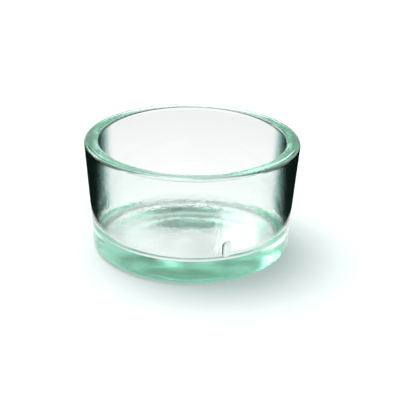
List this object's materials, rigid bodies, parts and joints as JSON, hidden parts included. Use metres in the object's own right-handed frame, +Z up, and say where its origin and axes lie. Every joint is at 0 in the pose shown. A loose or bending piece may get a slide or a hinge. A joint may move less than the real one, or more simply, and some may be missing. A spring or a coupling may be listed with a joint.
{
  "type": "candle bowl",
  "caption": "Small round pressed-glass candle bowl with thick drafted walls, a heavy solid base, a rounded rim and a low cone pushed up inside its standing ring.",
  "frame": {"origin": "centre of the standing ring, on the table plane", "axes": "+Z up along the bowl's axis; -Y is the front, with the moulded rib 21 degrees to its right"},
  "size_m": [0.066, 0.066, 0.035],
  "materials": {
    "glass": "clear pressed glass with a blue-green tint, fire polished, slightly wavy"
  },
  "bodies": {
    "root": {"glass_bowl": "glass"}
  },
  "joints": []
}
